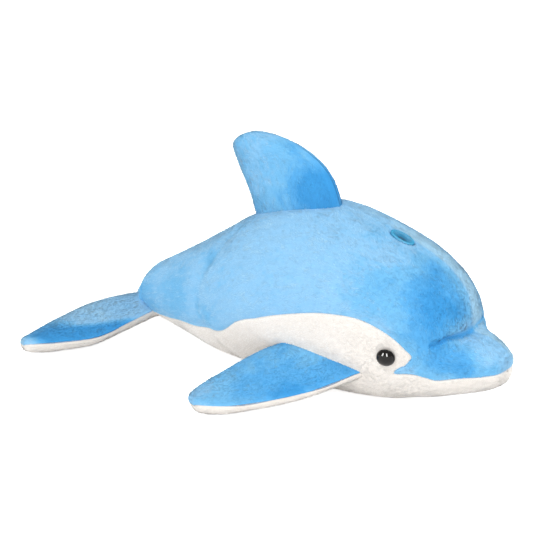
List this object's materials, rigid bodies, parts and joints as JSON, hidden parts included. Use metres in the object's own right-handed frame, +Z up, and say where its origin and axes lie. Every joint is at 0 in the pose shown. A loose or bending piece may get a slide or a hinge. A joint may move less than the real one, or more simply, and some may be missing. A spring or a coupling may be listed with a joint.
{
  "type": "plush dolphin",
  "caption": "Soft plush dolphin with a blue back and a white belly, lying on its belly with its flippers spread.",
  "frame": {"origin": "on the floor under the middle of the toy's overall length, in its plane of symmetry", "axes": "+X towards the nose, +Y towards the toy's left flipper, +Z up"},
  "size_m": [0.3328, 0.228, 0.1583],
  "materials": {
    "blue_plush": "short soft pile",
    "white_plush": "short soft pile",
    "teal_thread": "satin stitched thread",
    "fibre_filling": "loose fibre",
    "black_plastic": "gloss",
    "white_plastic": "moulded"
  },
  "bodies": {
    "root": {"back_panel_left": "blue_plush", "back_panel_right": "blue_plush", "belly_panel": "white_plush", "dorsal_panel_left": "blue_plush", "dorsal_panel_right": "blue_plush", "flipper_left_top": "blue_plush", "flipper_right_top": "blue_plush", "flipper_left_underside": "white_plush", "flipper_right_underside": "white_plush", "fluke_top": "blue_plush", "fluke_underside": "white_plush", "blowhole_patch": "teal_thread", "body_stuffing": "fibre_filling", "dorsal_stuffing": "fibre_filling", "flipper_left_stuffing": "fibre_filling", "flipper_right_stuffing": "fibre_filling", "fluke_stuffing": "fibre_filling", "eye_left": "black_plastic", "eye_right": "black_plastic", "eye_washer_left": "white_plastic", "eye_washer_right": "white_plastic"}
  },
  "joints": []
}
